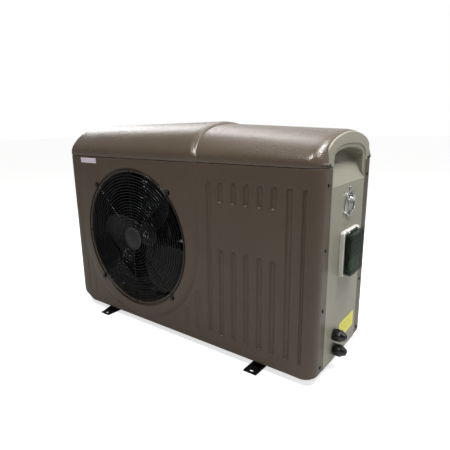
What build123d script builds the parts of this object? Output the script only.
"""Swimming-pool heat pump, horizontal-blow type, in millimetres.

The origin is on the ground at the centre of the footprint, with +Z up. The fan side (front)
faces -Y. The end with the gauge, controller and cable glands (right) faces +X.
"""
from build123d import *
import math
import os

# ------------------------------------------------------------------ driving dimensions
WIDTH = 1000.0            # casing along X
DEPTH = 382.0             # casing along Y, away from the raised fan half
PROUD = 6.5               # how far the fan half stands out in front and behind
CORNER_RADIUS = 38.0      # vertical corners
WALL = 3.0                # moulded wall
BASE_Z = 22.0             # underside of the casing
JOINT_Z = 580.7           # joint between lower casing and lid
PANEL_TOP = JOINT_Z - 0.7
LID_BOTTOM = JOINT_Z + 0.7
SEAM_Y = 121.0            # joint between wrap-round shells and side panels
HALF_WIDTH = WIDTH / 2
HALF_DEPTH = DEPTH / 2
PROUD_HALF_DEPTH = HALF_DEPTH + PROUD

FAN_X, FAN_Z = -155.0, 314.8
FAN_AXIS = (FAN_X, FAN_Z)
PLATEAU_RADIUS = 272.0    # raised area round the fan
GUARD_BOSS_RADIUS = 240.0  # pitch radius of the four guard screws
SHAFT_RADIUS = 5.0

# Casing screws, as (Y, Z) on both ends
SCREW_Y = 141.0
HEAD_SCREWS = [(SCREW_Y, 585.4), (-SCREW_Y, 585.4)]
SHELL_SCREWS = [(side * SCREW_Y, z) for side in (1, -1) for z in (44.7, 210.0, 373.9, 538.9)]
SCREW_HOLE = 2.1

# Right-hand end, as (Y, Z)
GAUGE = (6.5, 472.0)
GLANDS = [(-54.0, 106.0), (-47.5, 57.0)]
MOUNT_CENTRE, MOUNT_WIDTH, MOUNT_HEIGHT = (12.0, 338.0), 118.0, 124.0

# Water connections at the rear
WATER_X, WATER_IN_Z, WATER_OUT_Z = 370.0, 110.0, 330.0
WATER_PORTS = [(WATER_X, WATER_IN_Z), (WATER_X, WATER_OUT_Z)]
WATER_BORE = 21.5

os.makedirs("parts", exist_ok=True)


# ------------------------------------------------------------------ helpers
def save(part, name):
    part.label = name
    export_step(part, "parts/" + name + ".step")


def at_x(x):
    """Plane with (Y, Z) coordinates; a positive extrusion runs to +X."""
    return Plane.YZ.offset(x)


def at_y(y):
    """Plane with (X, Z) coordinates; a positive extrusion runs forward, to -Y."""
    return Plane.XZ.offset(-y)


def at_z(z):
    """Plane with (X, Y) coordinates; a positive extrusion runs up."""
    return Plane.XY.offset(z)


def discs(plane, places, radius, hole=0.0):
    """Equal circles, or rings if a hole radius is given."""
    with BuildSketch(plane) as sketch:
        with Locations(*places):
            Circle(radius)
            if hole:
                Circle(hole, mode=Mode.SUBTRACT)
    return sketch.sketch


def rects(plane, places, width, height, corner=0.0):
    """Equal rectangles, rounded if a corner radius is given."""
    with BuildSketch(plane) as sketch:
        with Locations(*places):
            if corner:
                RectangleRounded(width, height, corner)
            else:
                Rectangle(width, height)
    return sketch.sketch


def around(centre, radius, count, start):
    """Points evenly spaced on a circle, from the start angle in degrees."""
    angles = [math.radians(start + 360.0 / count * k) for k in range(count)]
    return [(centre[0] + radius * math.cos(a), centre[1] + radius * math.sin(a)) for a in angles]


def corners(centre, width, height):
    """The four corners of a rectangle."""
    return [(centre[0] + i * width / 2, centre[1] + j * height / 2)
            for i in (-1, 1) for j in (-1, 1)]


def finer(points):
    """The given points with Catmull-Rom midpoints added after the first span."""
    out = []
    last = len(points) - 1
    for i in range(last):
        near = [points[k] for k in (max(0, i - 1), i, i + 1, min(last, i + 2))]
        out.append(points[i])
        if i > 0:
            out.append(tuple((9 * (b + c) - a - d) / 16 for a, b, c, d in zip(*near)))
    return out + [points[-1]]


GUARD_SCREWS = around(FAN_AXIS, GUARD_BOSS_RADIUS, count=4, start=45)
GAUGE_SCREWS = around(GAUGE, 42, count=3, start=90)

# ------------------------------------------------------------------ top lid
# Half profiles: (distance in from the front face, height above the casing's underside)
LEFT_HALF = finer([
    (0, 560), (0, 576), (3.5, 588), (13, 603), (32, 624),
    (56, 641.5), (86, 654.5), (128, 664.5), (166, 669),
])
RIGHT_HALF = finer([
    (0, 560), (0, 570), (3.0, 580), (11, 591), (29, 607),
    (54, 621.5), (86, 632.5), (128, 641.5), (166, 645.2),
])
LEFT_TOP, RIGHT_TOP = 670.5, 646.5    # crown heights the half profiles were drawn for
PROFILE_FOOT = 560.0
# Distances from the middle of the lid to the stations that round its ends
LID_END_STATIONS = [499.6, 498.0, 494.5, 489.0, 481.0, 471.0, 456.0]
# Opening in each end of the lid, as (Y, Z), closed by straight lines down to its foot
WINDOW = [
    (-134, 600), (-126, 618), (-100, 634), (-50, 643), (0, 645),
    (50, 643), (100, 634), (126, 618), (134, 600),
]
WINDOW_FOOT = 560


def smooth(t):
    t = min(1.0, max(0.0, t))
    return t * t * (3 - 2 * t)


def lid_top(x, left):
    """Height of the crown above the underside at station x."""
    if left:
        return 657.5 + 13.0 * (x + HALF_WIDTH) / 600.0
    return 662.0 - 16.5 * (x - 130.0) / 370.0


def lid_outline(x, left, shrink, end_inset):
    """List of (Y, Z) up the front half of the arch, from foot to crown."""
    half = LEFT_HALF if left else RIGHT_HALF
    drawn_top = LEFT_TOP if left else RIGHT_TOP
    face = PROUD_HALF_DEPTH if left else HALF_DEPTH
    scale = (lid_top(x, left) - PROFILE_FOOT) / (drawn_top - PROFILE_FOOT)
    points = [(-face + t, BASE_Z + PROFILE_FOOT + (z - PROFILE_FOOT) * scale) for t, z in half]
    points.append((0.0, BASE_Z + lid_top(x, left)))
    out = []
    for i, (y, z) in enumerate(points):
        y0, z0 = points[max(0, i - 1)]
        y1, z1 = points[i + 1] if i + 1 < len(points) else (-y0, z0)
        length = math.hypot(y1 - y0, z1 - z0)
        normal_y, normal_z = -(z1 - z0) / length, (y1 - y0) / length
        inward = shrink + end_inset(math.degrees(math.atan2(normal_z, -normal_y)))
        out.append((y - normal_y * inward, z - normal_z * inward))
    return out


def arc_inset(x, radius):
    """Inset at x of a quarter-round that finishes at the end of the casing."""
    t = abs(x) - (HALF_WIDTH - radius)
    if t <= 0:
        return 0.0
    t = min(t, radius)
    return radius - math.sqrt(max(0.0, radius * radius - t * t))


def end_inset_at(x, corner, top):
    """Vertical corner radius low down, easing to a tighter end radius over the crown."""
    return lambda slope: arc_inset(x, corner - (corner - top) * smooth((slope - 20.0) / 70.0))


def lid_face(x, left, shrink, inset, foot):
    points = lid_outline(x, left, shrink, inset)[1:]
    rear = [(-y, z) for y, z in reversed(points[:-1])]
    with BuildSketch(at_x(x)) as face:
        with BuildLine():
            Polyline(*points, *rear, (-points[0][0], foot), (points[0][0], foot), close=True)
        make_face()
    return face.sketch


def lid_solid(shrink, foot):
    """Solid under the lid surface, drawn in by shrink all round."""
    stations = [(-x + shrink, True) for x in LID_END_STATIONS]
    stations += [(-150.0, True), (100.0, True), (131.0, False), (300.0, False)]
    stations += [(x - shrink, False) for x in reversed(LID_END_STATIONS)]
    with BuildPart() as body:
        for x, left in stations:
            if x < -400:
                inset = end_inset_at(x - shrink, CORNER_RADIUS + PROUD, 24.0)
            elif x > 400:
                inset = end_inset_at(x + shrink, CORNER_RADIUS, 20.0)
            else:
                inset = lambda slope: 0.0
            add(lid_face(x, left, shrink, inset, foot))
        loft(ruled=True)
    return body.part


def top_lid():
    outer = lid_solid(0.0, LID_BOTTOM)
    inner = lid_solid(WALL, LID_BOTTOM - 20.0)
    with BuildPart() as lid:
        add(outer)
        add(inner, mode=Mode.SUBTRACT)
        # open behind each side panel so the hand recess can pass in
        for side in (1, -1):
            with BuildSketch(at_x(side * 470.0)):
                with BuildLine():
                    window = Spline(*WINDOW, tangents=[(0, 1), (0, -1)])
                    Polyline(window @ 1, (134, WINDOW_FOOT), (-134, WINDOW_FOOT), window @ 0)
                make_face()
            extrude(amount=side * 40.0, mode=Mode.SUBTRACT)
        # seat for the side panel heads, and clearance holes for their screws
        for side in (1, -1):
            extrude(rects(at_x(side * 494.8), [(0, 630)], 300.4, 120),
                    amount=side * 20.0, mode=Mode.SUBTRACT)
            extrude(discs(at_x(side * 460.0), HEAD_SCREWS, SCREW_HOLE),
                    amount=side * 60.0, mode=Mode.SUBTRACT)
    return lid.part


# ------------------------------------------------------------------ lower casing blank
def plateau_face(plane, inset):
    """Raised area round the fan: full height above the fan axis, a circle below it."""
    radius = PLATEAU_RADIUS - inset
    with BuildSketch(plane) as face:
        with Locations(FAN_AXIS):
            Circle(radius)
        with BuildLine():
            Polyline((-499.4, 700), (FAN_X + radius, 700), (FAN_X + radius, FAN_Z),
                     (FAN_X - radius, FAN_Z), (-470, 348), (-499.4, 394), close=True)
        make_face()
    return face.sketch


def casing_blank():
    """Rounded box with the raised fan half front and rear, hollow, open top and bottom."""
    height = PANEL_TOP - BASE_Z
    with BuildPart() as pad:
        extrude(plateau_face(at_y(-HALF_DEPTH), 0.0), amount=-DEPTH)
        for y in (-HALF_DEPTH, PROUD_HALF_DEPTH):
            extrude(plateau_face(at_y(y), 6.0), amount=PROUD)
        with BuildSketch(at_z(BASE_Z)):
            RectangleRounded(WIDTH, 2 * PROUD_HALF_DEPTH, CORNER_RADIUS + PROUD)
        extrude(amount=height, mode=Mode.INTERSECT)
    with BuildPart() as body:
        with BuildSketch(at_z(BASE_Z)):
            RectangleRounded(WIDTH, DEPTH, CORNER_RADIUS)
        extrude(amount=height)
        chamfer(body.faces().sort_by(Axis.Z)[0].edges(), length=3.0)
        add(pad.part)
        with BuildSketch(at_z(BASE_Z - 5)):
            RectangleRounded(WIDTH - 2 * WALL, DEPTH - 2 * WALL, CORNER_RADIUS - WALL)
        extrude(amount=700, mode=Mode.SUBTRACT)
    return body.part


# ------------------------------------------------------------------ front panel
SEAM_CLEARANCE = 0.4
PANEL_SCREW_HOLE = 2.3    # guard screw holes
FAN_OPENING_RADIUS = 223.7
FAN_LAND_RADIUS = 236.0
FLUTE_WIDTH = 18.0
FLUTE_DEPTH = 5.5
FLUTE_BOTTOM, FLUTE_TOP = 64.0, 533.0
# (X, bottom Z, top Z): full height, then split above and below, then short ones by the fan
FLUTES = [(x, FLUTE_BOTTOM, FLUTE_TOP) for x in (166.8, 420.9, 464.2)]
for flute_x in (208.6, 252.0, 293.4, 336.0, 376.6):
    FLUTES += [(flute_x, FLUTE_BOTTOM, 339.0), (flute_x, 470.0, FLUTE_TOP)]
FLUTES += [(117.0, 65.0, 192.0), (72.5, 64.0, 127.0), (-383.0, 67.0, 137.0), (-423.0, 65.0, 196.0)]
# (plane Y, growth at each end, width, amount, mode): wall behind, mouth, narrower bed
FLUTE_STEPS = [
    (-HALF_DEPTH + WALL + FLUTE_DEPTH, 3, FLUTE_WIDTH + 6, FLUTE_DEPTH + 0.5, Mode.ADD),
    (-HALF_DEPTH, 0, FLUTE_WIDTH + 2, -2.0, Mode.SUBTRACT),
    (-HALF_DEPTH + 2, -2, FLUTE_WIDTH - 2, -FLUTE_DEPTH + 2, Mode.SUBTRACT),
]


def front_panel(blank):
    with BuildPart() as panel:
        add(blank)
        extrude(rects(Plane.XY, [(0, 200 - SEAM_Y - SEAM_CLEARANCE)], 1200, 400),
                amount=800, mode=Mode.SUBTRACT)
        for plane_y, growth, width, amount, mode in FLUTE_STEPS:
            with BuildSketch(at_y(plane_y)):
                for x, z0, z1 in FLUTES:
                    with Locations((x, (z0 + z1) / 2)):
                        SlotOverall(z1 - z0 + 2 * growth, width, rotation=90)
            extrude(amount=amount, mode=mode)
        # fan opening, guard land and the four screw pads
        extrude(discs(at_y(-HALF_DEPTH + WALL + 2), [FAN_AXIS], FAN_OPENING_RADIUS),
                amount=30, mode=Mode.SUBTRACT)
        with BuildSketch(at_y(-PROUD_HALF_DEPTH + 2.5)):
            with Locations(FAN_AXIS):
                Circle(FAN_LAND_RADIUS)
            with Locations(*GUARD_SCREWS):
                Circle(8.5)
        extrude(amount=10, mode=Mode.SUBTRACT)
        extrude(discs(at_y(-HALF_DEPTH + 20), GUARD_SCREWS, PANEL_SCREW_HOLE),
                amount=40, mode=Mode.SUBTRACT)
        extrude(discs(at_x(-520), SHELL_SCREWS, SCREW_HOLE), amount=1040, mode=Mode.SUBTRACT)
    return panel.part


# ------------------------------------------------------------------ rear panel
REAR_X0, REAR_X1, REAR_Z0, REAR_Z1 = -440.0, 92.0, 62.0, 548.0    # opening over the coil
REAR_CENTRE = ((REAR_X0 + REAR_X1) / 2, (REAR_Z0 + REAR_Z1) / 2)
REAR_WIDTH, REAR_HEIGHT = REAR_X1 - REAR_X0, REAR_Z1 - REAR_Z0
REAR_SCREWS = [(x, z) for x in (REAR_X0 - 14, REAR_X1 + 12) for z in (REAR_Z0 + 60, REAR_Z1 - 60)]


def rear_panel(blank):
    with BuildPart() as panel:
        add(blank)
        extrude(rects(Plane.XY, [(0, -200 + SEAM_Y + SEAM_CLEARANCE)], 1200, 400),
                amount=800, mode=Mode.SUBTRACT)
        extrude(rects(at_y(HALF_DEPTH - 10), [REAR_CENTRE], REAR_WIDTH, REAR_HEIGHT, 18),
                amount=-40, mode=Mode.SUBTRACT)
        # water ports, guard screws and two columns of slots
        with BuildSketch(at_y(HALF_DEPTH - 10)):
            with Locations(*WATER_PORTS):
                Circle(26.0)
            with Locations(*REAR_SCREWS):
                Circle(PANEL_SCREW_HOLE)
            with GridLocations(0, 17, 1, 6):
                with Locations((WATER_X - 95, 480), (WATER_X + 50, 480)):
                    SlotOverall(120, 7)
        extrude(amount=-40, mode=Mode.SUBTRACT)
        extrude(discs(at_x(-520), SHELL_SCREWS, SCREW_HOLE), amount=1040, mode=Mode.SUBTRACT)
        # notched round the back edge of each hand recess
        notches = [(HALF_WIDTH, 100), (-HALF_WIDTH, 100)]
        extrude(rects(at_z(524.2), notches, 2 * (WALL + 0.4), 2 * 29.1),
                amount=80, mode=Mode.SUBTRACT)
    return panel.part


def rear_guard():
    with BuildPart() as guard:
        with BuildSketch(at_y(PROUD_HALF_DEPTH + 0.2)):
            with Locations(REAR_CENTRE):
                RectangleRounded(REAR_WIDTH + 20, REAR_HEIGHT + 20, 20)
                RectangleRounded(REAR_WIDTH - 2, REAR_HEIGHT - 2, 16, mode=Mode.SUBTRACT)
                with GridLocations(24.0, 0, 22, 1):
                    Rectangle(2.6, REAR_HEIGHT + 8)
                with GridLocations(0, 54.0, 1, 9):
                    Rectangle(REAR_WIDTH + 8, 3.0)
            with Locations(*REAR_SCREWS):
                RectangleRounded(22, 18, 6)
            with Locations(*REAR_SCREWS):
                Circle(PANEL_SCREW_HOLE, mode=Mode.SUBTRACT)
        extrude(amount=-3.0)
    return guard.part


# ------------------------------------------------------------------ side panels
PANEL_HALF = SEAM_Y - 0.2
HEAD_HALF = 149.6
# Front half of a panel's rounded head, as (Y, Z) from foot to crown
ARCH = finer([
    (-149.6, 606.0), (-148.6, 613.0), (-144.2, 626.0), (-131.5, 636.0), (-116.0, 643.5),
    (-93.0, 651.0), (-68.4, 656.6), (-43.0, 660.5), (-16.5, 662.9), (0.0, 663.2),
])
# Roof of the hand recess, as (Y, Z) from front to rear
RECESS = finer([
    (-115.5, 606.0), (-105.0, 618.0), (-64.0, 628.5), (-11.0, 633.0),
    (79.0, 630.0), (114.0, 617.0), (125.5, 598.0),
])


def arch_face(x, inset):
    """Outline of the rounded head of a side panel, on a plane square to X."""
    points = [(y * (HEAD_HALF - inset) / HEAD_HALF, z - (inset if z > 620 else inset * 0.6))
              for y, z in ARCH]
    rear = [(-y, z) for y, z in reversed(points[:-1])]
    front_y, foot = points[0][0], LID_BOTTOM - 0.2
    with BuildSketch(at_x(x)) as face:
        with BuildLine():
            Polyline(*points, *rear, (-front_y, foot), (front_y, foot), close=True)
        make_face()
    return face.sketch


def recess_face(x, grow):
    """Outline of the hand recess, on a plane square to X."""
    points = [(y * (1 + grow / 118.0), z + grow) for y, z in RECESS]
    with BuildSketch(at_x(x)) as face:
        with BuildLine():
            Polyline(*points, (points[-1][0], 500.0), (points[0][0], 500.0), close=True)
        make_face()
    return face.sketch


def scoop(grow, low_x, low_z, deep_x, roof_z):
    """Wedge that deepens upwards under the crown: the hand recess, solid."""
    with BuildPart() as wedge:
        with BuildSketch(at_y(150)):
            with BuildLine():
                Polyline((low_x, low_z), (deep_x, 618), (deep_x, roof_z), (low_x, roof_z),
                         close=True)
            make_face()
        extrude(amount=300)
        extrude(recess_face(HALF_WIDTH - 80, grow), amount=120, mode=Mode.INTERSECT)
    return wedge.part


def side_blank():
    """Side panel for the +X end, without its own openings."""
    shell = scoop(grow=3.0, low_x=HALF_WIDTH - 0.5, low_z=525.0,
                  deep_x=HALF_WIDTH - 55.0, roof_z=640.0)
    void = scoop(grow=0.0, low_x=HALF_WIDTH + 3.0, low_z=524.3,
                 deep_x=HALF_WIDTH - 51.0, roof_z=637.0)
    middle = (0, (BASE_Z + JOINT_Z) / 2 + 0.5)
    with BuildPart() as panel:
        extrude(rects(at_x(HALF_WIDTH - WALL), [middle], 2 * PANEL_HALF, JOINT_Z - BASE_Z + 4),
                amount=WALL)
        # inner tongues that the wrap-round shells are screwed to, then their link to the panel
        for x, half, thickness in ((HALF_WIDTH - 2 * WALL - 0.2, SCREW_Y + 9, WALL),
                                   (HALF_WIDTH - WALL - 0.3, PANEL_HALF, 0.4)):
            with BuildSketch(at_x(x)):
                with Locations((0, 302)):
                    Rectangle(2 * half, 540)
                    Rectangle(2 * 106, 700, mode=Mode.SUBTRACT)
            extrude(amount=thickness)
        # rounded head lying over the end of the lid
        extrude(arch_face(HALF_WIDTH - 4.9, 0.0), amount=3.4)
        extrude(arch_face(HALF_WIDTH - 1.5, 1.2), amount=1.5)
        add(shell)
        add(void, mode=Mode.SUBTRACT)
        extrude(discs(at_x(HALF_WIDTH - 20), SHELL_SCREWS + HEAD_SCREWS, SCREW_HOLE),
                amount=40, mode=Mode.SUBTRACT)
    return panel.part


def right_side_panel(side):
    with BuildPart() as panel:
        add(side)
        with BuildSketch(at_x(HALF_WIDTH - 10)):
            with Locations(GAUGE):
                Circle(33.0)
            with Locations(*GAUGE_SCREWS):
                Circle(1.6)
            with Locations(*GLANDS):
                Circle(10.2)
            with Locations(*corners(MOUNT_CENTRE, MOUNT_WIDTH - 36, MOUNT_HEIGHT - 40)):
                Circle(2.0)
        extrude(amount=20, mode=Mode.SUBTRACT)
    return panel.part


def left_side_panel(side):
    with BuildPart() as panel:
        add(mirror(side, about=Plane.YZ, mode=Mode.PRIVATE))
        with BuildSketch(at_x(-HALF_WIDTH - 10)):
            with Locations((0, 290)):
                with GridLocations(0, 20, 1, 19):
                    SlotOverall(190, 9)
        extrude(amount=20, mode=Mode.SUBTRACT)
    return panel.part


# ------------------------------------------------------------------ base and feet
PAN_LENGTH, PAN_DEPTH, PAN_CORNER, PAN_SHEET = 986.8, 375.0, 30.0, 1.5
DRAIN = (FAN_X, 92.0)
RAIL_X, RAIL_WIDTH, RAIL_LENGTH, RAIL_HEIGHT, RAIL_SHEET = 322.0, 44.0, 430.0, 22.0, 2.5
SLOT_Y, SLOT_WIDTH, SLOT_LENGTH = 203.0, 7.0, 12.0


def base_pan():
    inside_z = BASE_Z + 0.2 + PAN_SHEET
    with BuildPart() as pan:
        extrude(rects(at_z(BASE_Z + 0.2), [(0, 0)], PAN_LENGTH, PAN_DEPTH, PAN_CORNER), amount=12.0)
        extrude(rects(at_z(inside_z), [(0, 0)], PAN_LENGTH - 2 * PAN_SHEET,
                      PAN_DEPTH - 2 * PAN_SHEET, PAN_CORNER - PAN_SHEET),
                amount=20.0, mode=Mode.SUBTRACT)
        # two pressed ribs and the drain spigot
        with BuildSketch(at_z(inside_z)):
            with GridLocations(0, 120, 1, 2):
                with Locations((-155, 0)):
                    SlotOverall(520, 14)
        extrude(amount=2.0)
        extrude(discs(at_z(4.0), [DRAIN], 9.0), amount=BASE_Z - 3.0)
        extrude(discs(Plane.XY, [DRAIN], 7.0), amount=60, mode=Mode.SUBTRACT)
    return pan.part


def foot_rail(side):
    """Rail under one side of the base: side is -1 for left, 1 for right."""
    upright_x = side * (RAIL_X + RAIL_WIDTH / 2 - RAIL_SHEET / 2) - RAIL_SHEET / 2
    with BuildPart() as rail:
        with BuildSketch(Plane.XY):
            with Locations((side * RAIL_X, 0)):
                RectangleRounded(RAIL_WIDTH, RAIL_LENGTH, 3)
            with Locations((side * RAIL_X, SLOT_Y), (side * RAIL_X, -SLOT_Y)):
                SlotOverall(SLOT_LENGTH, SLOT_WIDTH, mode=Mode.SUBTRACT)
        extrude(amount=RAIL_SHEET)
        # one upright on the outer side, tapering to the ends, turned in along its top
        with BuildSketch(at_x(upright_x)):
            with BuildLine():
                Polyline((-200, 1.0), (200, 1.0), (200, 3.5), (122, RAIL_HEIGHT),
                         (-122, RAIL_HEIGHT), (-200, 3.5), close=True)
            make_face()
        extrude(amount=RAIL_SHEET)
        extrude(rects(at_z(RAIL_HEIGHT - RAIL_SHEET), [(side * (RAIL_X + 1.0), 0)],
                      RAIL_WIDTH - 2.0, 240), amount=RAIL_SHEET)
    return rail.part


# ------------------------------------------------------------------ fan guard and its screws
GUARD_BACK_Y = -PROUD_HALF_DEPTH + 2.3    # back plane of the guard, on the land
GUARD_RINGS, GUARD_FIRST_RING, GUARD_PITCH = 18, 49.0, 9.65
GUARD_HALF_WIRE = 1.4


def fan_guard():
    with BuildPart() as guard:
        with BuildSketch(at_y(GUARD_BACK_Y)):
            with Locations(FAN_AXIS):
                Circle(232.0)
                Circle(228.5, mode=Mode.SUBTRACT)
                # largest first, as each ring clears everything inside it
                for k in reversed(range(GUARD_RINGS)):
                    ring_radius = GUARD_FIRST_RING + GUARD_PITCH * k
                    Circle(ring_radius + GUARD_HALF_WIRE)
                    Circle(ring_radius - GUARD_HALF_WIRE, mode=Mode.SUBTRACT)
                Circle(40.0)
                with PolarLocations(135.0, 8, start_angle=0):
                    Rectangle(192.0, 2.6)
                with PolarLocations(GUARD_BOSS_RADIUS - 2.0, 4, start_angle=45):
                    SlotOverall(20.0, 12.0)
                with PolarLocations(GUARD_BOSS_RADIUS, 4, start_angle=45):
                    Circle(2.3, mode=Mode.SUBTRACT)
        extrude(amount=2.8)
    return guard.part


def guard_screws():
    """Screws of the front and rear guards."""
    with BuildPart() as screws:
        extrude(discs(at_y(GUARD_BACK_Y - 3.0), GUARD_SCREWS, 6.5), amount=3.6)
        chamfer(screws.faces().sort_by(Axis.Y)[:4].edges(), length=1.2)
        extrude(discs(at_y(-HALF_DEPTH + 1.0), GUARD_SCREWS, 2.0), amount=8.4)
        extrude(discs(at_y(PROUD_HALF_DEPTH + 3.4), REAR_SCREWS, 5.5), amount=-3.0)
        extrude(discs(at_y(PROUD_HALF_DEPTH + 3.6), REAR_SCREWS, 2.0), amount=14.0)
    return screws.part


# ------------------------------------------------------------------ shroud, fan and motor
SHROUD_BORE, SHROUD_BACK_Y = 221.0, -105.0
FAN_Y, FAN_TIP_RADIUS = -112.0, 213.0
HUB_RADIUS, HUB_WALL, HUB_LENGTH = 46.0, 4.0, 44.0
BLADE_THICKNESS = 3.2
# Blade stations: (radius, chord, pitch in degrees, lag in degrees)
BLADE_STATIONS = [
    (40.0, 66.6, 36.0, 0.0), (80.0, 115.2, 31.0, 4.0), (125.0, 160.2, 26.0, 11.0),
    (170.0, 185.4, 22.0, 20.0), (202.0, 176.4, 19.0, 29.0),
]
SHAFT_FIT = SHAFT_RADIUS + 0.03    # bore of the parts carried on the shaft


def fan_shroud():
    with BuildPart() as shroud:
        extrude(discs(at_y(-HALF_DEPTH + 5.8), [FAN_AXIS], 247.0, hole=SHROUD_BORE), amount=2.5)
        extrude(discs(at_y(SHROUD_BACK_Y), [FAN_AXIS], SHROUD_BORE + 2.5, hole=SHROUD_BORE),
                amount=HALF_DEPTH - 5.0 + SHROUD_BACK_Y)
    return shroud.part


def fan_blade():
    """Sickle blade: flat sections square to the radius, swept and losing pitch outwards."""
    with BuildPart() as blade:
        for radius, chord, pitch, lag in BLADE_STATIONS:
            lag = math.radians(lag)
            pitch = math.radians(pitch)
            radial = Vector(math.cos(lag), 0, math.sin(lag))
            tangent = Vector(-math.sin(lag), 0, math.cos(lag))
            chord_dir = tangent * math.cos(pitch) + Vector(0, 1, 0) * math.sin(pitch)
            with BuildSketch(Plane(origin=radial * radius, x_dir=chord_dir, z_dir=radial)):
                Rectangle(chord, BLADE_THICKNESS)
        loft()
    return blade.part


def fan_blades():
    blade = fan_blade()
    with BuildPart() as tip_limit:
        extrude(discs(at_y(80), [(0, 0)], FAN_TIP_RADIUS), amount=160)
    with BuildPart() as fan:
        extrude(discs(at_y(HUB_LENGTH / 2), [(0, 0)], HUB_RADIUS), amount=HUB_LENGTH)
        fillet(fan.edges().filter_by(GeomType.CIRCLE).sort_by(Axis.Y)[0], radius=7)
        extrude(discs(at_y(HUB_LENGTH / 2), [(0, 0)], HUB_RADIUS - HUB_WALL, hole=14),
                amount=38, mode=Mode.SUBTRACT)
        for angle in (295, 55, 175):
            add(blade, rotation=(0, -angle, 0))
        add(tip_limit.part, mode=Mode.INTERSECT)
        extrude(discs(at_y(40), [(0, 0)], SHAFT_FIT), amount=80, mode=Mode.SUBTRACT)
    with BuildPart() as placed:
        with Locations((FAN_X, FAN_Y, FAN_Z)):
            add(fan.part)
    return placed.part


def motor_shaft():
    with BuildPart() as shaft:
        extrude(discs(at_y(-40.0), [FAN_AXIS], SHAFT_RADIUS), amount=108.0)
        chamfer(shaft.edges().sort_by(Axis.Y)[0], length=0.8)
    return shaft.part


def fan_nut():
    with BuildPart() as nut:
        extrude(discs(at_y(-134.3), [FAN_AXIS], 12.5, hole=SHAFT_FIT), amount=1.6)
        with BuildSketch(at_y(-135.9)):
            with Locations(FAN_AXIS):
                RegularPolygon(9.5, 6)
                Circle(SHAFT_FIT, mode=Mode.SUBTRACT)
        extrude(amount=8.0)
    return nut.part


def fan_motor():
    with BuildPart() as motor:
        extrude(discs(at_y(2.0), [FAN_AXIS], 55.0), amount=77.0)
        fillet(motor.edges().filter_by(GeomType.CIRCLE).sort_by(Axis.Y)[0], radius=7)
        extrude(discs(at_y(-75.0), [FAN_AXIS], 20.0), amount=8.0)
        # rear flange with four ears
        with BuildSketch(at_y(5.0)):
            with Locations(FAN_AXIS):
                Circle(57.0)
                with PolarLocations(60.0, 4, start_angle=45):
                    RectangleRounded(20, 14, 4)
        extrude(amount=3.0)
        extrude(discs(at_y(-38.0), [FAN_AXIS], SHAFT_RADIUS + 0.05),
                amount=50.0, mode=Mode.SUBTRACT)
    return motor.part


def motor_bracket():
    """Two posts and three cross bars behind the motor, with feet on the base."""
    strip, sheet, post_offset = 26, 2.2, 75
    with BuildPart() as bracket:
        with BuildSketch(at_y(7.4)):
            with Locations((FAN_X - post_offset, 300), (FAN_X + post_offset, 300)):
                Rectangle(strip, 550)
            with Locations((FAN_X, FAN_Z - 44), (FAN_X, FAN_Z + 44), (FAN_X, 562)):
                Rectangle(160, strip)
        extrude(amount=sheet)
        feet = [(FAN_X - post_offset, 20.2), (FAN_X + post_offset, 20.2)]
        extrude(rects(at_z(BASE_Z + 4.0), feet, strip, strip), amount=sheet)
    return bracket.part


def partition_plate():
    """Upright sheet between the fan and machinery sides, with a pass-through and a foot."""
    plate_x, middle_y, depth, sheet = 112.0, -27, 310, 1.2
    with BuildPart() as plate:
        extrude(rects(at_x(plate_x), [(middle_y, 300)], depth, 548), amount=sheet)
        extrude(rects(at_x(plate_x), [(20, 540)], 46, 24, 6), amount=sheet, mode=Mode.SUBTRACT)
        extrude(rects(at_z(BASE_Z + 4.0), [(plate_x + 6, middle_y)], 12, depth), amount=sheet)
    return plate.part


# ------------------------------------------------------------------ evaporator
COIL_Z0, COIL_Z1 = 27.0, 556.0
TUBE_RADIUS, TUBE_WALL, BEND_RADIUS = 4.7, 0.7, 11.0
BEND_ROWS, BEND_PITCH = 12, 44.0


def evaporator_fins():
    """L-shaped fin block along the rear and round the left-hand end."""
    with BuildPart() as fins:
        with BuildSketch(at_z(COIL_Z0)):
            with BuildLine():
                Polyline((100, 172), (-410, 172))
                RadiusArc((-410, 172), (-480, 102), -70)
                Polyline((-480, 102), (-480, -120), (-442, -120), (-442, 102))
                RadiusArc((-442, 102), (-410, 134), 32)
                Polyline((-410, 134), (100, 134), (100, 172))
            make_face()
        extrude(amount=COIL_Z1 - COIL_Z0)
    return fins.part


def evaporator_end_plates():
    with BuildPart() as plates:
        with BuildSketch(at_z(COIL_Z0)):
            with Locations((101.1, 153)):
                Rectangle(1.5, 42)
            with Locations((-461, -121.1)):
                Rectangle(42, 1.5)
        extrude(amount=COIL_Z1 - COIL_Z0)
    return plates.part


def return_bend():
    """Hollow U-bend standing upright, its legs starting at X = 0 and running to +X."""
    leg, bore = 4.0, TUBE_RADIUS - TUBE_WALL
    with BuildPart() as bend:
        extrude(discs(at_x(0), [(0, -BEND_RADIUS)], TUBE_RADIUS, hole=bore), amount=leg)
        with BuildSketch(at_x(leg)):
            with Locations((0, -BEND_RADIUS)):
                Circle(TUBE_RADIUS)
                Circle(bore, mode=Mode.SUBTRACT)
        revolve(axis=Axis((leg, 0, 0), (0, -1, 0)), revolution_arc=180)
        extrude(discs(at_x(0), [(0, BEND_RADIUS)], TUBE_RADIUS, hole=bore), amount=leg)
    return bend.part


def evaporator_bends():
    bend = return_bend()
    with BuildPart() as bends:
        for k in range(BEND_ROWS):
            z = COIL_Z0 + 26 + BEND_PITCH * k
            with Locations((102.1, 142.5, z), (102.1, 163.5, z)):
                add(bend)
            with Locations((-451, -122.1, z), (-471, -122.1, z)):
                add(bend, rotation=(0, 0, -90))
    return bends.part


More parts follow.
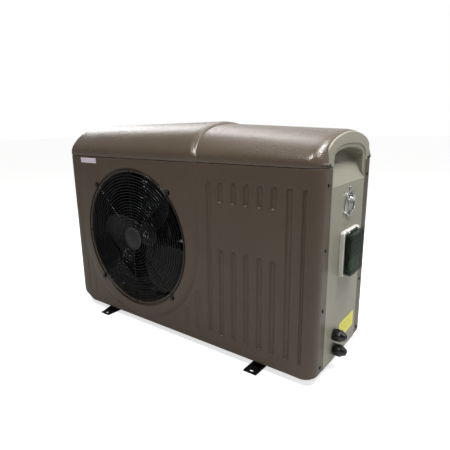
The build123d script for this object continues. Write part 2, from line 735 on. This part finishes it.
# ------------------------------------------------------------------ compressor
COMP_X, COMP_Y = 215.0, -75.0
COMP_AXIS = (COMP_X, COMP_Y)
FOOT_PITCH_RADIUS = 74.0
COMP_FEET = around(COMP_AXIS, FOOT_PITCH_RADIUS, count=3, start=90)
ACCUMULATOR_X = COMP_X + 91


def compressor():
    with BuildPart() as body:
        with BuildSketch(at_y(COMP_Y)):
            with BuildLine():
                Polyline((COMP_X, 56), (COMP_X + 40, 56))
                RadiusArc((COMP_X + 40, 56), (COMP_X + 60, 76), -20)
                Line((COMP_X + 60, 76), (COMP_X + 60, 268))
                RadiusArc((COMP_X + 60, 268), (COMP_X + 30, 298), -30)
                Polyline((COMP_X + 30, 298), (COMP_X, 300), (COMP_X, 56))
            make_face()
        revolve(axis=Axis((COMP_X, COMP_Y, 0), (0, 0, 1)))
        # three-cornered foot plate
        with BuildSketch(at_z(48.2)):
            with Locations(COMP_AXIS):
                with PolarLocations(FOOT_PITCH_RADIUS, 3, start_angle=90):
                    Circle(16)
                Circle(52)
            make_hull()
            with Locations(COMP_AXIS):
                with PolarLocations(FOOT_PITCH_RADIUS, 3, start_angle=90):
                    Circle(6, mode=Mode.SUBTRACT)
        extrude(amount=8.0)
        # suction accumulator, strapped and piped to the shell
        extrude(discs(at_z(92), [(ACCUMULATOR_X, COMP_Y)], 26), amount=158)
        extrude(rects(at_z(170), [(COMP_X + 62, COMP_Y)], 16, 30), amount=20)
        with BuildLine() as suction_bend:
            FilletPolyline((ACCUMULATOR_X, COMP_Y, 96), (ACCUMULATOR_X, COMP_Y, 74),
                           (COMP_X + 50, COMP_Y, 74), radius=12)
        with BuildSketch(at_z(96)) as suction_section:
            with Locations((ACCUMULATOR_X, COMP_Y)):
                Circle(7)
        sweep(sections=suction_section.sketch, path=suction_bend.line)
        # round stub and rounded block on the top
        with BuildSketch(at_z(296)):
            with Locations(COMP_AXIS):
                Circle(9)
            with Locations((COMP_X - 28, COMP_Y + 18)):
                RectangleRounded(26, 34, 6)
        extrude(amount=12)
    return body.part


def compressor_grommets():
    with BuildPart() as grommets:
        extrude(discs(at_z(BASE_Z + 2.0), COMP_FEET, 12, hole=4), amount=24.0)
        extrude(discs(at_z(BASE_Z + 26.0), COMP_FEET, 5.7, hole=4), amount=11.0)
    return grommets.part


# ------------------------------------------------------------------ heat exchanger
EXCH_X, EXCH_Y, EXCH_RADIUS = WATER_X, 60.0, 62.0
EXCH_AXIS = (EXCH_X, EXCH_Y)
EXCH_WALL = 5.0
# (bottom Z, radius, height): shell, bottom band, top band
EXCH_STACK = [(38, EXCH_RADIUS, 362), (38, EXCH_RADIUS + 4, 24), (376, EXCH_RADIUS + 4, 24)]


def heat_exchanger_shell():
    with BuildPart() as shell:
        for z, radius, height in EXCH_STACK:
            extrude(discs(at_z(z), [EXCH_AXIS], radius), amount=height)
        extrude(discs(at_z(BASE_Z + 4), corners(EXCH_AXIS, 90, 70), 9), amount=20)
        extrude(discs(at_y(EXCH_Y), WATER_PORTS, 31), amount=-82)
        extrude(discs(at_z(44), [EXCH_AXIS], EXCH_RADIUS - EXCH_WALL),
                amount=350, mode=Mode.SUBTRACT)
        # water bores, opened out to sockets at the rear
        extrude(discs(at_y(EXCH_Y), WATER_PORTS, WATER_BORE), amount=-100, mode=Mode.SUBTRACT)
        extrude(discs(at_y(EXCH_Y + 66), WATER_PORTS, 25.2), amount=-30, mode=Mode.SUBTRACT)
    return shell.part


def titanium_coil():
    with BuildPart() as coil:
        with BuildLine() as coil_path:
            Helix(pitch=26, height=286, radius=42, center=(EXCH_X, EXCH_Y, 66))
        with BuildSketch(Plane(origin=coil_path.line @ 0,
                               z_dir=coil_path.line % 0)) as coil_section:
            Circle(6.5)
        sweep(sections=coil_section.sketch, path=coil_path.line, is_frenet=True)
    return coil.part


# ------------------------------------------------------------------ refrigerant circuit
VALVE_X, VALVE_Y, VALVE_Z = 215.0, 40.0, 360.0
VALVE_PORT_PITCH = 25.0
PORT_END = VALVE_Z - 26.4        # where pipes meet the lower valve ports
LIQUID_X, LIQUID_Y = 165.0, 90.0   # upright line of the drier and expansion valve
LIQUID_AXIS = (LIQUID_X, LIQUID_Y)
GAS_RADIUS, SUCTION_RADIUS, LIQUID_RADIUS, PIPE_WALL = 6.0, 7.0, 4.8, 1.0


def tube(points, radius, bend_radius=14.0):
    """Bent copper tube through the given points."""
    start, second = Vector(*points[0]), Vector(*points[1])
    with BuildLine() as path:
        FilletPolyline(*points, radius=bend_radius)
    with BuildSketch(Plane(origin=start, z_dir=(second - start).normalized())) as ring:
        Circle(radius)
        Circle(radius - PIPE_WALL, mode=Mode.SUBTRACT)
    with BuildPart() as pipe:
        sweep(sections=ring.sketch, path=path.line)
    return pipe.part


def four_way_valve():
    lower_ports = [(VALVE_X + k * VALVE_PORT_PITCH, VALVE_Y) for k in (-1, 0, 1)]
    with BuildPart() as valve:
        extrude(discs(at_x(VALVE_X - 45), [(VALVE_Y, VALVE_Z)], 13), amount=90)
        fillet(valve.edges().filter_by(GeomType.CIRCLE), radius=4)
        extrude(discs(at_z(VALVE_Z + 8), [(VALVE_X, VALVE_Y)], 7.5), amount=18)
        extrude(discs(at_z(VALVE_Z - 26), lower_ports, 7.5), amount=18)
        # block on the rear of the body
        extrude(rects(at_y(VALVE_Y + 12), [(VALVE_X, VALVE_Z)], 30, 26, 4), amount=-24)
    return valve.part


def discharge_pipe():
    top = 402
    with BuildPart() as pipe:
        add(tube([(COMP_X, COMP_Y, 308.4), (COMP_X, COMP_Y, top), (COMP_X, VALVE_Y, top),
                  (COMP_X, VALVE_Y, VALVE_Z + 26.4)], GAS_RADIUS))
    return pipe.part


def suction_pipe():
    run_x, run_z = 296, 288
    with BuildPart() as pipe:
        add(tube([(VALVE_X, VALVE_Y, PORT_END), (VALVE_X, VALVE_Y, run_z),
                  (run_x, VALVE_Y, run_z), (run_x, COMP_Y, run_z),
                  (run_x, COMP_Y, 250.4)], SUCTION_RADIUS))
    return pipe.part


def gas_pipes():
    """From the outer valve ports to the heat exchanger and to the evaporator."""
    right_x, left_x = VALVE_X + VALVE_PORT_PITCH, VALVE_X - VALVE_PORT_PITCH
    with BuildPart() as pipes:
        add(tube([(right_x, VALVE_Y, PORT_END), (right_x, VALVE_Y, 312), (right_x, 104, 312),
                  (right_x, 104, 440), (348, 104, 440), (348, 104, 400.5)], GAS_RADIUS))
        add(tube([(left_x, VALVE_Y, PORT_END), (left_x, VALVE_Y, 300), (left_x, 152, 300),
                  (126, 152, 300)], GAS_RADIUS))
    return pipes.part


def filter_drier():
    with BuildPart() as drier:
        extrude(discs(at_z(96), [LIQUID_AXIS], 17), amount=92)
        fillet(drier.edges().filter_by(GeomType.CIRCLE), radius=8)
        extrude(discs(at_z(88), [LIQUID_AXIS], 6.5), amount=108)
    return drier.part


def expansion_valve():
    head = (LIQUID_X, 237)
    with BuildPart() as valve:
        extrude(rects(at_z(226), [LIQUID_AXIS], 22, 26, 3), amount=22)
        extrude(discs(at_z(220), [LIQUID_AXIS], 6.5), amount=38)
        # neck and head on the front
        extrude(discs(at_y(LIQUID_Y - 12), [head], 9), amount=14)
        extrude(discs(at_y(LIQUID_Y - 26), [head], 17), amount=9)
    return valve.part


def liquid_pipes():
    entry_y = EXCH_Y + 4
    with BuildPart() as pipes:
        add(tube([(EXCH_X - 66.5, entry_y, 72), (LIQUID_X, entry_y, 72),
                  (LIQUID_X, LIQUID_Y, 72), (LIQUID_X, LIQUID_Y, 87.6)], LIQUID_RADIUS, 10.0))
        extrude(discs(at_z(196.4), [LIQUID_AXIS], LIQUID_RADIUS, hole=LIQUID_RADIUS - PIPE_WALL),
                amount=23.2)
        add(tube([(LIQUID_X, LIQUID_Y, 258.4), (LIQUID_X, LIQUID_Y, 336), (LIQUID_X, 152, 336),
                  (126, 152, 336)], LIQUID_RADIUS, 10.0))
    return pipes.part


# ------------------------------------------------------------------ water side
COLLAR_RADIUS = 33.0
TAIL_RADIUS = 29.6
SOCKET_RADIUS = 25.1
FLOW_Y = 165.0
FLOW_AXIS = (WATER_X, FLOW_Y)
PIVOT = (FLOW_Y, WATER_IN_Z + 32.0)    # (Y, Z) of the paddle pin


def water_pipe(z, tapped):
    """Pipe from the heat exchanger out to its union; tapped on top for the flow switch."""
    place = (WATER_X, z)
    with BuildPart() as pipe:
        extrude(discs(at_y(126.4), [place], 25.0), amount=-65.6)
        # octagonal flange outside the rear panel, then the union collar
        with BuildSketch(at_y(191.4)):
            with Locations(place):
                RegularPolygon(38.0, 8, rotation=22.5)
        extrude(amount=-4.6)
        extrude(discs(at_y(196.0), [place], COLLAR_RADIUS), amount=-17.0)
        extrude(discs(at_y(120), [place], WATER_BORE), amount=-100, mode=Mode.SUBTRACT)
        if tapped:
            extrude(discs(at_z(z + 10), [FLOW_AXIS], 4.5), amount=20, mode=Mode.SUBTRACT)
    return pipe.part


def union_tails():
    with BuildPart() as tails:
        for place in WATER_PORTS:
            extrude(discs(at_y(213.4), [place], COLLAR_RADIUS), amount=-6.0)
            extrude(discs(at_y(219.4), [place], TAIL_RADIUS), amount=-42.6)
            extrude(discs(at_y(210), [place], WATER_BORE), amount=-60, mode=Mode.SUBTRACT)
            extrude(discs(at_y(231.0), [place], SOCKET_RADIUS), amount=-40, mode=Mode.SUBTRACT)
    return tails.part


def union_nuts():
    nut_radius = 39.5
    with BuildPart() as nuts:
        for place in WATER_PORTS:
            with BuildSketch(at_y(198.5)):
                with Locations(place):
                    Circle(nut_radius)
                    with PolarLocations(nut_radius, 8):
                        RectangleRounded(6.0, 13.0, 2.0)
            extrude(amount=-28.0)
            # bored over the collar, then through over the tail
            extrude(discs(at_y(190), [place], COLLAR_RADIUS + 0.3),
                    amount=-29.8, mode=Mode.SUBTRACT)
            extrude(discs(at_y(190), [place], TAIL_RADIUS + 0.3),
                    amount=-60, mode=Mode.SUBTRACT)
    return nuts.part


def flow_switch():
    with BuildPart() as switch:
        extrude(discs(at_z(WATER_IN_Z + 25.4), [FLOW_AXIS], 11), amount=14)
        extrude(rects(at_z(WATER_IN_Z + 38), [FLOW_AXIS], 44, 30, 5), amount=34)
        extrude(discs(at_z(WATER_IN_Z + 20), [FLOW_AXIS], 5), amount=22, mode=Mode.SUBTRACT)
        extrude(discs(at_x(WATER_X - 8.2), [PIVOT], 1.3), amount=16.4, mode=Mode.SUBTRACT)
    return switch.part


def flow_paddle():
    with BuildPart() as paddle:
        with BuildSketch(at_y(FLOW_Y + 0.5)):
            with Locations((WATER_X, WATER_IN_Z - 2)):
                Circle(13)
            with Locations((WATER_X, WATER_IN_Z + 20)):
                Rectangle(5, 30)
        extrude(amount=1.0)
        # pivot pin across the neck of the switch
        extrude(discs(at_x(WATER_X - 8.0), [PIVOT], 1.2), amount=16.0)
    return paddle.part


# ------------------------------------------------------------------ electrics
BOX_CENTRE, BOX_LENGTH, BOX_DEPTH = (289.0, -123.0), 294.0, 114.0
BOX_Z0, BOX_Z1, BOX_SHEET = 416.0, 558.0, 1.2
BOX_FLOOR = BOX_Z0 + 1.5       # underside of what stands in the box
BOARD_CENTRE = (218, -122)
BOARD_Z, BOARD_THICKNESS = BOX_Z0 + 8, 1.6


def electrical_box():
    with BuildPart() as box:
        extrude(rects(at_z(BOX_Z0), [BOX_CENTRE], BOX_LENGTH, BOX_DEPTH), amount=BOX_Z1 - BOX_Z0)
        extrude(rects(at_z(BOX_Z0 + BOX_SHEET), [BOX_CENTRE],
                      BOX_LENGTH - 2 * BOX_SHEET, BOX_DEPTH - 2 * BOX_SHEET),
                amount=BOX_Z1, mode=Mode.SUBTRACT)
    return box.part


def electrical_box_cover():
    with BuildPart() as cover:
        extrude(rects(at_z(BOX_Z1 + 0.3), [BOX_CENTRE], BOX_LENGTH + 4, BOX_DEPTH + 4),
                amount=BOX_SHEET)
    return cover.part


def circuit_board():
    top = BOARD_Z + BOARD_THICKNESS
    with BuildPart() as board:
        extrude(rects(at_z(BOARD_Z), [BOARD_CENTRE], 136, 92), amount=BOARD_THICKNESS)
        extrude(discs(at_z(BOX_FLOOR), corners(BOARD_CENTRE, 122, 78), 3), amount=6.6)
        # row of four low blocks, then a tall block and two tall cylinders
        extrude(rects(at_z(top), [(180 + 26 * k, -140) for k in range(4)], 18, 15), amount=16)
        with BuildSketch(at_z(top)):
            with Locations((190, -98)):
                Rectangle(40, 32)
            with Locations((236, -100), (258, -100)):
                Circle(8)
        extrude(amount=28)
    return board.part


def contactor():
    place = (330, -122)
    with BuildPart() as body:
        extrude(rects(at_z(BOX_FLOOR), [place], 56, 70), amount=30)
        extrude(rects(at_z(BOX_FLOOR + 30), [place], 56, 44), amount=28)
    return body.part


def run_capacitor():
    with BuildPart() as capacitor:
        extrude(discs(at_z(BOX_FLOOR), [(398, -122)], 24), amount=94)
        fillet(capacitor.edges().filter_by(GeomType.CIRCLE).sort_by(Axis.Z)[-1], radius=3)
        extrude(rects(at_z(BOX_Z0 + 95), [(390, -122), (406, -122)], 1.2, 7), amount=12)
    return capacitor.part


# ------------------------------------------------------------------ wired controller
COVER_Y0, COVER_Y1, COVER_Z0, COVER_Z1 = -43.0, 51.0, 280.0, 396.0
COVER_WIDTH, COVER_HEIGHT = COVER_Y1 - COVER_Y0, COVER_Z1 - COVER_Z0
COVER_MID_Y, COVER_MID_Z = (COVER_Y0 + COVER_Y1) / 2, (COVER_Z0 + COVER_Z1) / 2
COVER_CENTRE = (COVER_MID_Y, COVER_MID_Z)
MOUNT_X = HALF_WIDTH + 12.0    # outer face of the mounting base
BODY_X = 524.0                 # outer face of the body
COVER_X = 533.0                # outer face of the cover
HINGE_X, HINGE_Z = 516.0, 398.6
# (start Y, end Y) of the two hinge lugs
LUG_SPANS = [(COVER_Y0 + 10, COVER_Y0 + 16), (COVER_Y1 - 16, COVER_Y1 - 10)]
LCD_CENTRE, LCD_WIDTH, LCD_HEIGHT = (COVER_MID_Y, COVER_MID_Z + 14), 69.6, 57.6
# Button names and their Y positions
BUTTONS = {
    "power_button": COVER_MID_Y - 30, "mode_button": COVER_MID_Y - 10,
    "up_button": COVER_MID_Y + 10, "down_button": COVER_MID_Y + 30,
}
BUTTON_Z, BUTTON_WIDTH, BUTTON_HEIGHT = COVER_MID_Z - 36, 13.0, 8.0


def controller_base():
    with BuildPart() as base:
        extrude(rects(at_x(HALF_WIDTH + 0.2), [MOUNT_CENTRE], MOUNT_WIDTH, MOUNT_HEIGHT, 7),
                amount=MOUNT_X - HALF_WIDTH - 0.2)
        chamfer(base.faces().sort_by(Axis.X)[-1].edges(), length=1.2)
        for y0, y1 in LUG_SPANS:
            with BuildSketch(at_y(y1)):
                with Locations((HINGE_X - 2.5, HINGE_Z)):
                    Rectangle(5.0, 6.6)
                with Locations((HINGE_X, HINGE_Z)):
                    Circle(3.3)
            extrude(amount=y1 - y0)
            extrude(discs(at_y(y1), [(HINGE_X, HINGE_Z)], 1.56),
                    amount=y1 - y0, mode=Mode.SUBTRACT)
    return base.part


def controller_body():
    button_places = [(y, BUTTON_Z) for y in BUTTONS.values()]
    with BuildPart() as body:
        extrude(rects(at_x(MOUNT_X + 0.2), [(COVER_MID_Y, COVER_MID_Z - 0.5)],
                      COVER_WIDTH - 6.5, COVER_HEIGHT - 9.0, 4), amount=BODY_X - MOUNT_X - 0.2)
        chamfer(body.faces().sort_by(Axis.X)[-1].edges(), length=1.0)
        extrude(rects(at_x(BODY_X - 2.5), [LCD_CENTRE], LCD_WIDTH + 0.4, LCD_HEIGHT + 0.4),
                amount=5, mode=Mode.SUBTRACT)
        extrude(rects(at_x(BODY_X - 6), button_places, BUTTON_WIDTH + 0.6, BUTTON_HEIGHT + 0.6, 2),
                amount=8, mode=Mode.SUBTRACT)
    return body.part


def lcd_screen():
    with BuildPart() as screen:
        extrude(rects(at_x(BODY_X - 2.3), [LCD_CENTRE], LCD_WIDTH, LCD_HEIGHT), amount=1.8)
    return screen.part


def controller_button(y):
    with BuildPart() as button:
        extrude(rects(at_x(BODY_X - 4.4), [(y, BUTTON_Z)], BUTTON_WIDTH, BUTTON_HEIGHT, 1.7),
                amount=5.6)
        fillet(button.faces().sort_by(Axis.X)[-1].edges(), radius=0.6)
    return button.part


def controller_cover():
    (front_y0, front_y1), (rear_y0, rear_y1) = LUG_SPANS
    with BuildPart() as cover:
        extrude(rects(at_x(MOUNT_X + 1.0), [COVER_CENTRE], COVER_WIDTH, COVER_HEIGHT, 5),
                amount=COVER_X - MOUNT_X - 1.0)
        fillet(cover.faces().sort_by(Axis.X)[-1].edges(), radius=2.5)
        extrude(rects(at_x(MOUNT_X), [COVER_CENTRE], COVER_WIDTH - 4.4, COVER_HEIGHT - 4.4, 3),
                amount=COVER_X - MOUNT_X - 2.4, mode=Mode.SUBTRACT)
        # hinge barrel between the lugs, with a stub pin at each end
        with BuildSketch(at_y(rear_y0 - 0.3)):
            with Locations((HINGE_X, HINGE_Z)):
                Circle(3.0)
            with Locations((HINGE_X + 0.5, HINGE_Z - 2.5)):
                Rectangle(5.0, 4.0)
        extrude(amount=rear_y0 - front_y1 - 0.6)
        extrude(discs(at_y(rear_y1 - 0.5), [(HINGE_X, HINGE_Z)], 1.5),
                amount=rear_y1 - front_y0 - 1.0)
        # the top wall is notched round each lug
        for y0, y1 in LUG_SPANS:
            extrude(discs(at_y(y1 + 0.4), [(HINGE_X, HINGE_Z)], 5.0, hole=1.5),
                    amount=y1 - y0 + 0.8, mode=Mode.SUBTRACT)
        # lift tab
        extrude(rects(at_x(MOUNT_X + 10), [(COVER_MID_Y, COVER_Z0 - 1.5)], 16, 7, 2), amount=6)
    return cover.part


# ------------------------------------------------------------------ cable glands
NUT_RADIUS = 15.6
NUT_X = HALF_WIDTH + 7.6


def cable_gland_bodies():
    with BuildPart() as bodies:
        for place in GLANDS:
            with BuildSketch(at_x(HALF_WIDTH + 0.2)):
                with Locations(place):
                    RegularPolygon(17.0, 6)
            extrude(amount=7.0)
            extrude(discs(at_x(HALF_WIDTH - 16), [place], 10.0), amount=32.0)
            extrude(discs(at_x(HALF_WIDTH - 20), [place], 6.5), amount=60, mode=Mode.SUBTRACT)
            # locknut drawn up behind the panel
            with BuildSketch(at_x(HALF_WIDTH - 9)):
                with Locations(place):
                    RegularPolygon(16.0, 6)
                    Circle(10.2, mode=Mode.SUBTRACT)
            extrude(amount=5.0)
    return bodies.part


def cable_gland_nuts():
    """Ribbed nuts with a tapered nose."""
    with BuildPart() as nuts:
        for place in GLANDS:
            with BuildSketch(at_x(NUT_X)):
                with Locations(place):
                    Circle(NUT_RADIUS)
                    with PolarLocations(NUT_RADIUS - 0.2, 12):
                        Circle(1.7)
            extrude(amount=16.0)
            with BuildSketch(at_x(NUT_X + 16.0)):
                with Locations(place):
                    Circle(NUT_RADIUS)
            extrude(amount=13.0, taper=28)
            extrude(discs(at_x(HALF_WIDTH + 7), [place], 10.3), amount=10.0, mode=Mode.SUBTRACT)
            extrude(discs(at_x(HALF_WIDTH + 7), [place], 6.8), amount=60.0, mode=Mode.SUBTRACT)
    return nuts.part


# ------------------------------------------------------------------ pressure gauge
BEZEL_RADIUS = 36.5
DIAL_RADIUS = 30.8
DIAL_X = HALF_WIDTH - 13.8


def gauge_case():
    with BuildPart() as case:
        extrude(discs(at_x(HALF_WIDTH - 34), [GAUGE], 32.5), amount=34.2)
        # flange with three ears, then the bezel
        with BuildSketch(at_x(HALF_WIDTH + 0.2)):
            with Locations(GAUGE):
                Circle(BEZEL_RADIUS)
                with PolarLocations(40.0, 3, start_angle=90):
                    SlotOverall(14, 10)
        extrude(amount=1.6)
        extrude(discs(at_x(HALF_WIDTH + 1.8), [GAUGE], BEZEL_RADIUS), amount=2.4)
        chamfer(case.faces().sort_by(Axis.X)[-1].edges(), length=1.0)
        extrude(discs(at_x(HALF_WIDTH - 14), [GAUGE], 31.0), amount=30, mode=Mode.SUBTRACT)
        extrude(discs(at_x(HALF_WIDTH + 0.2), GAUGE_SCREWS, 1.7), amount=3, mode=Mode.SUBTRACT)
        # stub on the inner end
        extrude(discs(at_x(HALF_WIDTH - 46), [GAUGE], 7), amount=12)
    return case.part


def gauge_dial():
    with BuildPart() as dial:
        extrude(discs(at_x(DIAL_X), [GAUGE], DIAL_RADIUS), amount=1.0)
        extrude(discs(at_x(DIAL_X + 1.0), [GAUGE], 1.0), amount=4.4)
    return dial.part


def gauge_needle():
    y, z = GAUGE
    with BuildPart() as needle:
        with BuildSketch(at_x(HALF_WIDTH - 11.6)):
            with Locations(GAUGE):
                Circle(3.6)
            with BuildLine():
                Polyline((y + 9, z - 1.6), (y + 9, z + 1.6), (y - 25, z + 0.5),
                         (y - 25, z - 0.5), close=True)
            make_face()
        extrude(amount=1.2)
        extrude(discs(at_x(HALF_WIDTH - 12), [GAUGE], 1.04), amount=3, mode=Mode.SUBTRACT)
    return needle.part


def gauge_lens():
    with BuildPart() as lens:
        extrude(discs(at_x(HALF_WIDTH + 0.6), [GAUGE], DIAL_RADIUS), amount=2.0)
    return lens.part


def gauge_screws():
    with BuildPart() as screws:
        extrude(discs(at_x(HALF_WIDTH + 2.0), GAUGE_SCREWS, 3.1), amount=1.8)
        extrude(discs(at_x(HALF_WIDTH - 8.0), GAUGE_SCREWS, 1.5), amount=10.2)
    return screws.part


# ------------------------------------------------------------------ casing screws and labels
# (distance out from the end face, radius, amount outwards, taper): rim, crown, shank
CASING_SCREW_STEPS = [(0.2, 4.8, 1.4, 0), (1.6, 4.8, 1.2, 40), (-12.0, 1.9, 12.4, 0)]


def casing_screws():
    with BuildPart() as screws:
        for side in (1, -1):
            for out, radius, amount, taper in CASING_SCREW_STEPS:
                with BuildSketch(at_x(side * (HALF_WIDTH + out))):
                    with Locations(*SHELL_SCREWS, *HEAD_SCREWS):
                        Circle(radius)
                extrude(amount=side * amount, taper=taper)
    return screws.part


def stickers():
    """One label low on the right-hand end, one at the top left of the front."""
    with BuildPart() as labels:
        extrude(rects(at_x(HALF_WIDTH + 0.1), [(44.0, 95.0)], 112, 50, 2), amount=0.3)
        extrude(rects(at_y(-PROUD_HALF_DEPTH - 0.1), [(-370.0, 566.5)], 90, 15, 1), amount=0.25)
    return labels.part


# ------------------------------------------------------------------ build and save
casing = casing_blank()
for build in (front_panel, rear_panel):
    save(build(casing), build.__name__)

side_panel = side_blank()
for build in (right_side_panel, left_side_panel):
    save(build(side_panel), build.__name__)

save(foot_rail(-1), "left_foot_rail")
save(foot_rail(1), "right_foot_rail")
save(water_pipe(WATER_IN_Z, tapped=True), "water_inlet_pipe")
save(water_pipe(WATER_OUT_Z, tapped=False), "water_outlet_pipe")
for button_name, button_y in BUTTONS.items():
    save(controller_button(button_y), button_name)

# Each of these is saved under the name of its function
for build in (
    top_lid, rear_guard, base_pan, fan_guard, guard_screws,
    fan_shroud, fan_blades, motor_shaft, fan_nut, fan_motor, motor_bracket, partition_plate,
    evaporator_fins, evaporator_end_plates, evaporator_bends,
    compressor, compressor_grommets, heat_exchanger_shell, titanium_coil,
    four_way_valve, discharge_pipe, suction_pipe, gas_pipes,
    filter_drier, expansion_valve, liquid_pipes,
    union_tails, union_nuts, flow_switch, flow_paddle,
    electrical_box, electrical_box_cover, circuit_board, contactor, run_capacitor,
    controller_base, controller_body, lcd_screen, controller_cover,
    cable_gland_bodies, cable_gland_nuts,
    gauge_case, gauge_dial, gauge_needle, gauge_lens, gauge_screws,
    casing_screws, stickers,
):
    save(build(), build.__name__)
